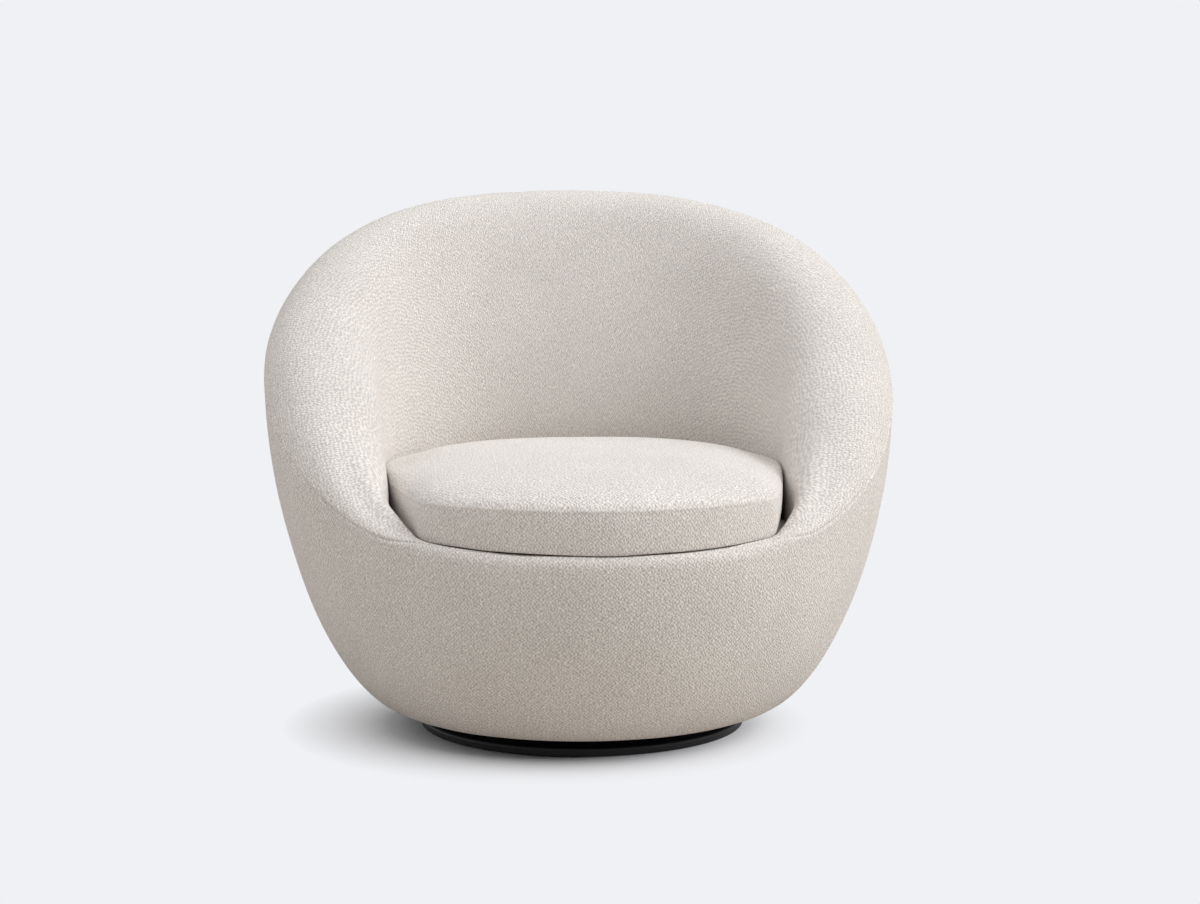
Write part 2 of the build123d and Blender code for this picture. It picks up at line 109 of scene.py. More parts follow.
def by_side(sizes, t):
    """A size at angle t from its values at the front, side, shoulder and back."""
    front, side, shoulder, back = sizes
    mean = ((front + back) / 2 + side) / 2
    pinch = ((front + back) / 2 - side) / 2
    lean = (back - front) / 2
    fullness = (shoulder - mean) / sin(pi / 4)
    return (mean + (lean + fullness) / 2 * cos(t) + pinch * cos(2 * t)
            + (lean - fullness) / 2 * cos(3 * t))


def roll_radius(t):
    """Radius of the rim's roll, which thins from the arms to the front lip."""
    from_back = abs((t + pi) % (2 * pi) - pi)
    thinned = min(1, max(0, (from_back - ARM_END) / (LIP_START - ARM_END)))
    return LIP_ROLL + (by_side(ROLL, t) - LIP_ROLL) * (1 + cos(pi * thinned)) / 2


def deck_radius(t):
    """Radius of the inner wall where it meets the deck."""
    return by_side(RIM_R, t) - 2 * roll_radius(t) - max(0, by_side(DRAW_IN, t))


def tub_profile(t, s):
    """Radius and height on the tub's surface: up the outer wall, over the roll, down inside."""
    rim_r = by_side(RIM_R, t)
    rim_z = by_side(RIM_Z, t)
    roll = roll_radius(t)
    if s <= 1:
        a = s * pi / 2
        return (FOOT_R + (rim_r - FOOT_R) * sin(a) ** (2 / WALL_POWER),
                rim_z - (rim_z - FOOT_Z) * max(0, cos(a)) ** (2 / WALL_POWER))
    if s <= ROLL_END:
        a = (s - 1) * ROLL_TURN
        return rim_r - roll + roll * cos(a), rim_z + roll * sin(a)
    down = (s - ROLL_END) / (INNER_END - ROLL_END)
    start_r = rim_r - roll + roll * cos(ROLL_TURN)
    start_z = rim_z + roll * sin(ROLL_TURN)
    end_r = deck_radius(t)
    leave = INNER_LEAVE * (start_r - end_r)
    meet_z = DECK_Z + INNER_MEET * (start_z - DECK_Z)
    shares = ((1 - down) ** 3, 3 * down * (1 - down) ** 2, 3 * down ** 2 * (1 - down), down ** 3)
    radii = (start_r, start_r - leave * sin(ROLL_TURN), end_r, end_r)
    heights = (start_z, start_z + leave * cos(ROLL_TURN), meet_z, DECK_Z)
    return sum(s * r for s, r in zip(shares, radii)), sum(s * z for s, z in zip(shares, heights))


def seam_at(t):
    """Place of the rim seam along the profile at an angle."""
    low, high = [radians(angle) for angle in SEAM_CLIMB]
    from_back = abs((t + pi) % (2 * pi) - pi)
    climbed = min(1, max(0, (from_back - low) / (high - low)))
    return SEAM_AT + SEAM_RISE * (1 - cos(pi * climbed)) / 2


class Profile:
    """The tub's section at one angle, measured along its length in mm."""

    def __init__(self, t):
        places = [INNER_END * k / PROFILE_STEPS for k in range(PROFILE_STEPS + 1)]
        points = np.array([tub_profile(t, s) for s in places])
        steps = np.hypot(*np.diff(points, axis=0).T)
        self.turn = t
        self.points = points
        self.lengths = np.concatenate([[0], np.cumsum(steps)])
        self.seam = float(np.interp(seam_at(t), places, self.lengths))
        self.full = float(self.lengths[-1])

    def at(self, length):
        r = float(np.interp(length, self.lengths, self.points[:, 0]))
        z = float(np.interp(length, self.lengths, self.points[:, 1]))
        return Vector((r * sin(self.turn), r * cos(self.turn), z)), r

    def facing(self, length):
        """The direction the section's surface faces, in radius and height."""
        low = max(0, length - 4)
        high = min(self.full, length + 4)
        dr, dz = [float(np.interp(high, self.lengths, self.points[:, i])
                        - np.interp(low, self.lengths, self.points[:, i])) for i in (0, 1)]
        size = sqrt(dr * dr + dz * dz)
        return Vector((dz / size * sin(self.turn), dz / size * cos(self.turn), -dr / size))


def smooth(low, high, value):
    """0 below low, 1 above high, and a soft step between them."""
    share = min(1, max(0, (value - low) / (high - low)))
    return share * share * (3 - 2 * share)


def inner_padding(t, z):
    """Soft padding inside the tub, at the back and beside the cushion's front corners, in mm."""
    turn = abs(degrees(atan2(sin(t), cos(t))))
    back = BACK_PADDING * ((1 + cos(t)) / 2) ** 2
    back *= smooth(*BACK_SWELLS, z) * (1 - smooth(*BACK_FADES, z))
    corner = CORNER_PADDING * smooth(*CORNER_SWELLS, turn) * (1 - smooth(*CORNER_FADES, turn))
    return back + corner * (1 - smooth(*CORNER_TOP, z))


# The roll and the inner wall at each whole degree.
INNER_WALL = [np.array([tub_profile(radians(angle), 1 + (INNER_END - 1) * k / WALL_STEPS)
                        for k in range(WALL_STEPS + 1)]) for angle in range(361)]


def wall_inside(t, z):
    """Radius of the inner wall at an angle and a height; above its top, as just under it."""
    found = []
    place = (t % (2 * pi)) / (2 * pi) * 360
    for index in (int(place), int(place) + 1):
        line = INNER_WALL[min(index, 360)]
        top = int(np.argmax(line[:, 1]))
        found.append(float(np.interp(-min(z, line[top, 1] - 5), -line[top:, 1], line[top:, 0])))
    share = place - int(place)
    return found[0] * (1 - share) + found[1] * share - inner_padding(t, z)


def lip_height(t, r):
    """Height of the tub's surface under a point, or None inside or outside the rim."""
    line = INNER_WALL[round((t % (2 * pi)) / (2 * pi) * 360)]
    if not line[-1, 0] < r < line[0, 0]:
        return None
    return float(np.interp(-r, -line[:, 0], line[:, 1]))


def near_then_even(near, total, count):
    """Distances from a seam: close together beside it, then even up to the total."""
    start = near[-1]
    return list(near) + [start + (total - start) * k / count for k in range(1, count + 1)]


def columns_between(first, last, seams):
    """Angles between two, closer together beside each seam."""
    spaces = max(2, round((last - first) / (2 * pi) * COLUMNS))
    turns = set(np.linspace(first, last, spaces + 1).tolist())
    for seam in seams:
        for mm in NEAR_SEAM:
            for side in (-1, 1):
                turn = seam + side * mm / WEAVE_R
                if first <= turn <= last:
                    turns = {t for t in turns if abs(t - turn) > 0.4 * (mm + 1) / WEAVE_R}
                    turns.add(turn)
    turns |= {first, last}
    return sorted(turns)


def soft_wave(point, size, amount, seed):
    """Slow unevenness of stuffed cloth, from a point in mm."""
    return amount * noise.noise(Vector(point) / size + Vector((seed, 2 * seed, -seed)))


def seam_dip(distance, depth, lip):
    """How a plain seam draws the cloth in, with a soft ridge of turned edges beside it."""
    return -depth * exp(-(distance / 1.5) ** 2) + lip * exp(-((distance - 4.5) / 3.2) ** 2)


def tub_offset(point, from_rim_seam, from_side_seam):
    """How far the cloth stands off the tub's form, in mm."""
    swell = soft_wave(point, 140, 1.3, 3) + soft_wave(point, 55, 0.35, 11)
    pucker = soft_wave(point, 22, 0.9, 7) * exp(-from_rim_seam / 14)
    pucker += soft_wave(point, 18, 0.5, 9) * exp(-from_side_seam / 10)
    return (swell + pucker + seam_dip(from_rim_seam, 1.5, 0.8)
            + seam_dip(from_side_seam, 0.4, 0.15))


# ---- helpers for making pieces -------------------------------------------------------------
def deselect():
    if bpy.context.object and bpy.context.object.mode != "OBJECT":
        bpy.ops.object.mode_set(mode="OBJECT")
    bpy.ops.object.select_all(action="DESELECT")


def pick(obj):
    deselect()
    obj.select_set(True)
    bpy.context.view_layer.objects.active = obj


def named(obj, name):
    obj.name = name
    obj.data.name = name
    return obj


def finish_with(obj, kind, **settings):
    """Adds a modifier and applies it."""
    pick(obj)
    modifier = obj.modifiers.new(kind.title(), kind)
    for key, value in settings.items():
        setattr(modifier, key, value)
    bpy.ops.object.modifier_apply(modifier=modifier.name)


def shade_smooth(obj):
    pick(obj)
    bpy.ops.object.shade_smooth_by_angle(angle=radians(50))


def cloth_grid(name, rows, weave, closed, from_seam=None):
    """A grid of cloth laid on rows of points in mm, with its weave in metres as a UV map."""
    deselect()
    across = len(rows[0]) - 1
    along = len(rows) - 1
    bpy.ops.mesh.primitive_grid_add(x_subdivisions=across, y_subdivisions=along, size=1)
    obj = named(bpy.context.object, name)
    mesh = obj.data
    flat_points = [p for row in rows for p in row]
    for vertex, point in zip(mesh.vertices, flat_points):
        vertex.co = Vector(point) * MM
    layer = mesh.uv_layers.active.data
    flat_weave = [p for row in weave for p in row]
    for loop in mesh.loops:
        u, v = flat_weave[loop.vertex_index]
        layer[loop.index].uv = (u * MM, v * MM)
    if from_seam:
        marks = mesh.attributes.new("from_seam", "FLOAT", "POINT").data
        for index, mark in enumerate(marks):
            mark.value = from_seam[index // (across + 1)]
    if closed:
        pick(obj)
        bpy.ops.object.mode_set(mode="EDIT")
        bpy.ops.mesh.select_all(action="SELECT")
        bpy.ops.mesh.remove_doubles(threshold=0.00001)
        bpy.ops.object.mode_set(mode="OBJECT")
    return obj


def face_outwards(obj):
    pick(obj)
    bpy.ops.object.mode_set(mode="EDIT")
    bpy.ops.mesh.select_all(action="SELECT")
    bpy.ops.mesh.normals_make_consistent(inside=False)
    bpy.ops.object.mode_set(mode="OBJECT")


def close_ends(obj):
    """Draws the small rings at the two ends of a grid that goes all round to a point each."""
    pick(obj)
    bpy.ops.object.mode_set(mode="EDIT")
    bpy.ops.mesh.select_all(action="DESELECT")
    bpy.ops.mesh.select_mode(type="EDGE")
    bpy.ops.mesh.select_non_manifold()
    bpy.ops.mesh.edge_collapse()
    bpy.ops.mesh.select_mode(type="VERT")
    bpy.ops.object.mode_set(mode="OBJECT")
    face_outwards(obj)


# ---- the tub's covers ----------------------------------------------------------------------
CLOTH = 2.2                         # thickness that a cover's edge shows, mm
LIP_HALF = 0.5                      # half the front lip, radians
LIP_CALM = 0.4                      # the cloth is this much smoother there
NO_SIDE_SEAM = 1000                 # distance from a side seam where there is none


def open_cloth_outwards(obj):
    """Turns the tub's cloth to face away from the middle of its own thickness."""
    highest = max(obj.data.polygons, key=lambda face: abs(face.normal.z) * face.center.z)
    outward = sum(face.normal.dot(Vector((face.center.x, face.center.y, 0))) * face.area
                  for face in obj.data.polygons if face.center.xy.length > 0.33)
    face_wrong = outward < 0 if highest.center.z < 0.5 else highest.normal.z < 0
    if face_wrong:
        obj.data.flip_normals()


def cover(name, first, last, over_rim):
    """One cloth cover of the tub, between two angles, above or below the rim seam."""
    seams = [] if over_rim else [first, last]
    turns = columns_between(first, last, seams)
    middle = (first + last) / 2
    rows, weave = [], []
    profiles = [Profile(t) for t in turns]
    count = len(NEAR_SEAM) + FAR_ROWS
    for k in range(count):
        row, cloth = [], []
        for profile in profiles:
            t = profile.turn
            room = profile.full - profile.seam if over_rim else profile.seam
            from_seam = near_then_even(NEAR_SEAM, room, FAR_ROWS)[k]
            length = profile.seam + from_seam if over_rim else profile.seam - from_seam
            point, r = profile.at(length)
            side = NO_SIDE_SEAM if over_rim else min(abs(t - first), abs(t - last)) * r
            on_lip = over_rim and abs((t % (2 * pi)) - pi) < LIP_HALF
            out = tub_offset(point, from_seam, side) * (LIP_CALM if on_lip else 1)
            facing = profile.facing(length)
            inward = -facing.x * sin(t) - facing.y * cos(t)
            out += inner_padding(t, point.z) * min(1, max(0, 2 * inward))
            row.append(point + facing * out)
            cloth.append(((t - middle) * (WEAVE_R if over_rim else r), length))
        rows.append(row)
        weave.append(cloth)
    if not over_rim:
        foot, foot_weave = rows[-1], weave[-1]
        for share, down, used in zip(HEM_IN, HEM_DOWN, HEM_CLOTH):
            rows.append([Vector((p.x * share, p.y * share, FOOT_Z - down)) for p in foot])
            weave.append([(u, v - used) for u, v in foot_weave])
        rows.reverse()
        weave.reverse()
    obj = cloth_grid(name, rows, weave, over_rim)
    open_cloth_outwards(obj)
    finish_with(obj, "SUBSURF", levels=1, render_levels=1)
    finish_with(obj, "SOLIDIFY", thickness=CLOTH * MM, offset=-1)
    shade_smooth(obj)
    return obj


rim = cover("tub_rim_cover", -pi, pi, True)
front = cover("tub_front_cover", SIDE_SEAM, 2 * pi - SIDE_SEAM, False)
back = cover("tub_back_cover", -SIDE_SEAM, SIDE_SEAM, False)


# ---- the cushion ---------------------------------------------------------------------------
def arc(start, middle, end, count):
    """Points on the circle through three points, without the last one."""
    (ax, ay), (bx, by), (cx, cy) = start, middle, end
    d = 2 * (ax * (by - cy) + bx * (cy - ay) + cx * (ay - by))
    a2, b2, c2 = ax * ax + ay * ay, bx * bx + by * by, cx * cx + cy * cy
    centre = np.array([(a2 * (by - cy) + b2 * (cy - ay) + c2 * (ay - by)) / d,
                       (a2 * (cx - bx) + b2 * (ax - cx) + c2 * (bx - ax)) / d])
    spokes = [np.array(p) - centre for p in (start, middle, end)]
    angles = np.unwrap([np.arctan2(s[1], s[0]) for s in spokes])
    radius = float(np.hypot(*spokes[0]))
    return [centre + radius * np.array([cos(a), sin(a)])
            for a in np.linspace(angles[0], angles[2], count, endpoint=False)]


def cushion_plan(count):
    """The cushion's outline seen from above, as evenly spaced points in mm."""
    right_side = (deck_radius(pi / 2) - CUSHION_GAP, 0)
    left_side = (-right_side[0], 0)
    corner = CUSHION_CORNER
    left_corner = (-corner[0], corner[1])
    outline = []
    for angle in range(-90, 90, 2):
        t = radians(angle)
        r = deck_radius(t) - CUSHION_GAP
        outline.append(np.array([r * sin(t), r * cos(t)]))
    outline += arc(right_side, CUSHION_SIDE, corner, 60)
    outline += arc(corner, (0, CUSHION_FRONT_Y), left_corner, 120)
    outline += arc(left_corner, (-CUSHION_SIDE[0], CUSHION_SIDE[1]), left_side, 60)
    outline = np.array(outline)
    even = resample(outline, PLAN_STEPS)
    shifts = range(-SOFTEN, SOFTEN + 1)
    window = np.exp(-(np.array(shifts) / SOFTEN_WIDTH) ** 2)
    window /= window.sum()
    soft = sum(w * np.roll(even, k, axis=0) for w, k in zip(window, shifts))
    return resample(soft, count)


def resample(points, count):
    """Points at even spaces along a closed line."""
    closed = np.vstack([points, points[:1]])
    along = np.concatenate([[0], np.cumsum(np.hypot(*np.diff(closed, axis=0).T))])
    wanted = np.linspace(0, along[-1], count, endpoint=False)
    return np.column_stack([np.interp(wanted, along, closed[:, i]) for i in (0, 1)])


CUSHION_COLUMNS = 240
plan = cushion_plan(CUSHION_COLUMNS)
AROUND = 2050.0                     # rough length of the outline, mm
FAR_FROM_SEAM = 200.0
UNDERSIDE = (0.02, 0.12, 0.25, 0.4, 0.55, 0.7, 0.82, 0.9, 0.94)     # shares of the plan
CROWN_POWER = 0.75                  # fullness of the crown
CROWN_END = 80                      # degrees of the crown's curve that are used
SEAM_ROWS = 8                       # rows close beside the top seam, 3 degrees apart
SEAM_STEP = 3.0
SEAM_SPACING = 2.6                  # their distance from one to the next, mm
CROWN_ROWS = 14
TOP_ROWS = 8
LAST_RING = 8.15                    # leaves a small ring in the middle, which close_ends closes

# Rows of the band: share of the plan, and share of the height from the bottom to the top seam.
BAND = ((0.958, 0.0), (0.968, 0.08), (0.975, 0.2), (0.981, 0.38), (0.985, 0.55), (0.987, 0.72),
        (0.987, 0.86), (0.9865, 0.93), (0.985, 0.965), (0.9835, 0.985), (0.982, 1.0))


def cushion_rows(shrink):
    """Rows from the middle of the underside, out, up the band, and over the crown."""
    rows = []
    low, seam, top = CUSHION_BOTTOM + 1, CUSHION_SEAM_Z, CUSHION_TOP - 3
    edge = BAND[-1][0]

    def crown(angle, from_seam):
        a = radians(angle)
        height = (top - seam) * sin(a) / sin(radians(CROWN_END))
        rows.append((edge * cos(a) ** CROWN_POWER, seam + height, from_seam))

    for share in UNDERSIDE:
        rows.append((share, low, FAR_FROM_SEAM))
    for share, up in BAND:
        rows.append((share, low + up * (seam - low), (1 - up) * (seam - low)))
    for k in range(1, SEAM_ROWS + 1):
        crown(SEAM_STEP * k, SEAM_SPACING * k)
    begin = SEAM_STEP * SEAM_ROWS
    for k in range(1, CROWN_ROWS + 1):
        crown(begin + (CROWN_END - begin) * k / CROWN_ROWS, 30.0 + 8 * k)
    last = rows[-1][0]
    for k in range(1, TOP_ROWS + 1):
        rows.append((last * (1 - k / LAST_RING), top, FAR_FROM_SEAM))
    return [(share * shrink, z, from_seam) for share, z, from_seam in rows]


def ring(share, z):
    """One row round the cushion; it moves forward with its depth below the seam."""
    forward = CUSHION_FORWARD * max(0, CUSHION_SEAM_Z - z) / (CUSHION_SEAM_Z - CUSHION_BOTTOM)
    middle = CUSHION_MID_Y
    return [Vector((x * share, middle - forward + (y - middle) * share, z)) for x, y in plan]


def cushion_form(name, shrink):
    table = cushion_rows(shrink)
    rows = [ring(share, z) for share, z, from_seam in table]
    rows = [row + row[:1] for row in rows]
    weave = [[(AROUND * i / CUSHION_COLUMNS, row[0].z) for i in range(len(row))] for row in rows]
    return cloth_grid(name, rows, weave, True, [from_seam for share, z, from_seam in table])


SWELL_VOXEL = 6                     # the simulated copy's grain, mm
SWELL_PRESSURE = 4
SWELL_CAP = 14                      # farthest that one of its points may move, mm
SWELL_FRAMES = 20
START_SHARE = 0.985                 # the copy starts a little smaller
MOST_OUT = 3.0                      # what the simulation may add to the fitted form, mm
MOST_IN = -1.5
EVEN_OUT = 30                       # rounds of evening out what it adds
LEVEL = 0.62                        # a face more level than this belongs to the top or underside


def swell(obj):
    """Fills a copy of a form with air as cloth, and returns that copy."""
    pick(obj)
    bpy.ops.object.duplicate()
    soft = named(bpy.context.object, obj.name + "_swollen")
    finish_with(soft, "REMESH", mode="VOXEL", voxel_size=SWELL_VOXEL * MM)
    start = [v.co.copy() for v in soft.data.vertices]
    cloth = soft.modifiers.new("Cloth", "CLOTH")
    cloth.settings.quality = 5
    cloth.settings.mass = 0.3
    cloth.settings.tension_stiffness = 30
    cloth.settings.compression_stiffness = 30
    cloth.settings.shear_stiffness = 15
    cloth.settings.bending_stiffness = 2
    cloth.settings.use_pressure = True
    cloth.settings.uniform_pressure_force = SWELL_PRESSURE
    cloth.settings.effector_weights.gravity = 0
    for step in range(1, SWELL_FRAMES + 1):
        scene.frame_set(step)
    pick(soft)
    bpy.ops.object.modifier_apply(modifier=cloth.name)
    scene.frame_set(1)
    for vertex, rest in zip(soft.data.vertices, start):
        moved = vertex.co - rest
        if moved.length > SWELL_CAP * MM:
            vertex.co = rest + moved.normalized() * SWELL_CAP * MM
        vertex.co.z = max(vertex.co.z, (CUSHION_BOTTOM + 0.3) * MM)
    return soft


def cushion_weave(obj):
    """Lays the weave on the cushion: straight over the top, and round the band."""
    layer = obj.data.uv_layers.active.data
    for face in obj.data.polygons:
        flat = abs(face.normal.z) > LEVEL or face.center.z > (CUSHION_SEAM_Z + 1) * MM
        for index in face.loop_indices:
            co = obj.data.vertices[obj.data.loops[index].vertex_index].co
            if flat:
                layer[index].uv = (co.x, co.y)
            else:
                layer[index].uv = (layer[index].uv[0], co.z)


def take_on(obj, swollen):
    """Gives a form the simulation's swell, evened out and no more than it has room for."""
    pick(obj)
    bpy.ops.object.duplicate()
    wrapped = bpy.context.object
    finish_with(wrapped, "SHRINKWRAP", wrap_method="NEAREST_SURFACEPOINT", target=swollen)
    out = []
    for before, after in zip(obj.data.vertices, wrapped.data.vertices):
        moved = (after.co - before.co).dot(before.normal) / MM
        out.append(min(MOST_OUT, max(MOST_IN, moved)))
    bpy.data.objects.remove(wrapped, do_unlink=True)
    out = np.array(out)
    ends = np.array([edge.vertices[:] for edge in obj.data.edges])
    for step in range(EVEN_OUT):
        total, count = np.zeros(len(out)), np.zeros(len(out))
        for one, other in ((0, 1), (1, 0)):
            np.add.at(total, ends[:, one], out[ends[:, other]])
            np.add.at(count, ends[:, one], 1)
        out = (out + total / count) / 2
    directions = [vertex.normal.copy() for vertex in obj.data.vertices]
    for vertex, direction, far in zip(obj.data.vertices, directions, out):
        vertex.co += direction * float(far) * MM


cushion = cushion_form("seat_cushion", 1.0)
small = cushion_form("cushion_start", START_SHARE)
close_ends(small)
swollen = swell(small)
take_on(cushion, swollen)
for spare in (small, swollen):
    bpy.data.objects.remove(spare, do_unlink=True)


def dress_cushion(obj):
    """Draws in the top seam, and lets the cloth gather beside it."""
    marks = [mark.value for mark in obj.data.attributes["from_seam"].data]
    directions = [v.normal.copy() for v in obj.data.vertices]
    for vertex, direction, from_seam in zip(obj.data.vertices, directions, marks):
        if direction.z < -0.8:
            continue
        point = vertex.co / MM
        out = seam_dip(from_seam, 0.9, 0.35)
        out += soft_wave(point, 20, 0.9, 5) * exp(-from_seam / 14)
        out += soft_wave(point, 90, 1.4, 17) + soft_wave(point, 35, 0.4, 23)
        vertex.co += direction * out * MM
        vertex.co.z = max(vertex.co.z, (CUSHION_BOTTOM + 0.2) * MM)


PRESS = 1.2                         # the cushion stops this short of the tub's cloth, mm
REACH = 64                          # where it is nearer to the wall than this, it leans on it
TOP_REACH = 16                      # the same for the crown
OVER_LIP = (136, 145)               # between these angles it comes out over the front lip
STOPS_LEANING = (104, 120)          # between these it stops leaning on the wall
FRONT_R = 383                       # radius of its front edge
OUT_LOW = 9                         # how far the front comes out, at the bottom
OUT_MORE = 10                       # and how much more at the seam
DROOP = 6                           # how far its lower edge hangs down
ABOVE_LIP = 1.5                     # it lies this far above the lip's form


def settle_in_tub(obj):
    """Presses the cushion's side against the tub, and lets its front edge lie over the lip."""
    for vertex in obj.data.vertices:
        x, y, z = vertex.co / MM
        t, r = atan2(x, y), hypot(x, y)
        free = smooth(*OVER_LIP, degrees(abs(t)))
        lean = 1 - smooth(*STOPS_LEANING, degrees(abs(t)))
        up = min(1, max(0, (z - CUSHION_BOTTOM) / (CUSHION_SEAM_Z - CUSHION_BOTTOM)))
        r += free * (OUT_LOW + OUT_MORE * up * up) * (r / FRONT_R) ** 8
        z -= free * DROOP * (1 - up) * (r / FRONT_R) ** 20
        gap = wall_inside(t, z) - PRESS - r
        reach = max(TOP_REACH, REACH - 2 * max(0, z - CUSHION_SEAM_Z))
        if gap < 0:
            r = max(r + gap, r + gap * (1 - free) ** 2)
        elif gap < reach:
            r += lean * (gap - gap ** 3 / reach ** 2)
        surface = lip_height(t, r)
        if surface is not None:
            z = max(z, surface + ABOVE_LIP)
        vertex.co = Vector((r * sin(t), r * cos(t), z)) * MM


dress_cushion(cushion)
settle_in_tub(cushion)
cushion_weave(cushion)
finish_with(cushion, "SUBSURF", levels=1, render_levels=1)
close_ends(cushion)
shade_smooth(cushion)


# ---- the deck under the cushion, and the cloth under the tub --------------------------------
DECK_ROWS = ((0.02, 299.0), (0.2, 299.0), (0.5, 298.9), (0.75, 298.6), (0.9, 297.6), (0.97, 295.6),
             (0.992, 291.0), (0.994, 280.0), (0.994, 260.0), (0.994, 237.0), (0.5, 237.0),
             (0.02, 237.0))         # share of the deck's radius, and height, mm
DECK_COLUMNS = 120
UNDER_COLUMNS = 144
UNDER_HALF = 131                    # half the square opening in the under cloth, mm
UNDER_R = 253                       # its radius
UNDER_THICK = 0.3


def deck():
    """The seat deck's pad under its platform cloth, a little crowned."""
    turns = [2 * pi * i / DECK_COLUMNS for i in range(DECK_COLUMNS + 1)]
    rows = [[Vector((deck_radius(t) * share * sin(t), deck_radius(t) * share * cos(t), z))
             for t in turns] for share, z in DECK_ROWS]
    weave = [[(p.x, p.y) for p in row] for row in rows]
    obj = cloth_grid("seat_deck_pad", rows, weave, True)
    finish_with(obj, "SUBSURF", levels=1, render_levels=1)
    close_ends(obj)
    shade_smooth(obj)
    return obj


deck_pad = deck()


def under_cloth():
    """The dust cloth stapled under the tub, sagging a little round the swivel plate."""
    turns = [2 * pi * i / UNDER_COLUMNS for i in range(UNDER_COLUMNS + 1)]
    rows = []
    for share in (0.0, 0.15, 0.35, 0.6, 0.8, 0.95, 1.0):
        row = []
        for t in turns:
            half = UNDER_HALF / max(abs(sin(t)), abs(cos(t)))
            r = half + (UNDER_R - half) * share
            sag = 0.9 * sin(pi * share) + 0.25 * sin(11 * t) * sin(pi * share)
            row.append(Vector((r * sin(t), r * cos(t), FOOT_Z - UNDER_THICK - sag)))
        rows.append(row)
    weave = [[(p.x, p.y) for p in row] for row in rows]
    obj = cloth_grid("under_cloth", rows, weave, True)
    finish_with(obj, "SOLIDIFY", thickness=UNDER_THICK * MM, offset=0)
    shade_smooth(obj)
    return obj


under = under_cloth()


# ---- materials -----------------------------------------------------------------------------
class Value:
    """A number in a material; Python's operators on it add Math nodes."""

    def __init__(self, tree, socket):
        self.tree = tree
        self.socket = socket

    def math(self, operation, *operands):
        node = self.tree.nodes.new("ShaderNodeMath")
        node.operation = operation
        for socket, operand in zip(node.inputs, operands):
            connect(self.tree, operand, socket)
        return Value(self.tree, node.outputs[0])

    def __add__(self, other):
        return self.math("ADD", self, other)

    def __radd__(self, other):
        return self.math("ADD", other, self)

    def __sub__(self, other):
        return self.math("SUBTRACT", self, other)

    def __rsub__(self, other):
        return self.math("SUBTRACT", other, self)

    def __mul__(self, other):
        return self.math("MULTIPLY", self, other)

    def __rmul__(self, other):
        return self.math("MULTIPLY", other, self)

    def __truediv__(self, other):
        return self.math("DIVIDE", self, other)

    def wave(self):
        return self.math("SINE", self)

    def most(self, other):
        return self.math("MAXIMUM", self, other)

    def least(self, other):
        return self.math("MINIMUM", self, other)


def connect(tree, value, socket):
    if isinstance(value, Value):
        tree.links.new(value.socket, socket)
    else:
        socket.default_value = value


class Finish:
    """A material being built, with its Principled shader."""

    def __init__(self, name, **constants):
        self.material = bpy.data.materials.new(name)
        self.material.use_nodes = True
        self.tree = self.material.node_tree
        self.shader = self.tree.nodes["Principled BSDF"]
        for key, value in constants.items():
            self.shader.inputs[key.replace("_", " ")].default_value = value

    def node(self, kind, settings=None, output=0, **sockets):
        """Adds any other node: its settings first, then the values or links of its sockets."""
        node = self.tree.nodes.new("ShaderNode" + kind)
        for key, value in (settings or {}).items():
            setattr(node, key, value)
        for key, value in sockets.items():
            numbered = key[0] == "n" and key[1:].isdigit()
            which = int(key[1:]) if numbered else key.replace("_", " ")
            connect(self.tree, value, node.inputs[which])
        return Value(self.tree, node.outputs[output])

    def mix(self, factor, one, other):
        """Mixes two colours."""
        return self.node("Mix", {"data_type": "RGBA"}, 2, n0=factor, n6=one, n7=other)

    def feed(self, **sockets):
        for key, value in sockets.items():
            connect(self.tree, value, self.shader.inputs[key.replace("_", " ")])
        return self.material

    def bump(self, height, distance, strength=1.0):
        return self.node("Bump", None, 0, Height=height, Distance=distance, Strength=strength)


WEFT = 0.0058                       # from one row of loops to the next, metres
WARP = 0.0054
THREAD = 0.0041                     # from one upright thread to the next
NOISE_2D = {"noise_dimensions": "2D"}
FOLLOWS_CLOTH = 2                   # outputs of Texture Coordinate: the UV map
FOLLOWS_PIECE = 3                   # and the Object coordinates


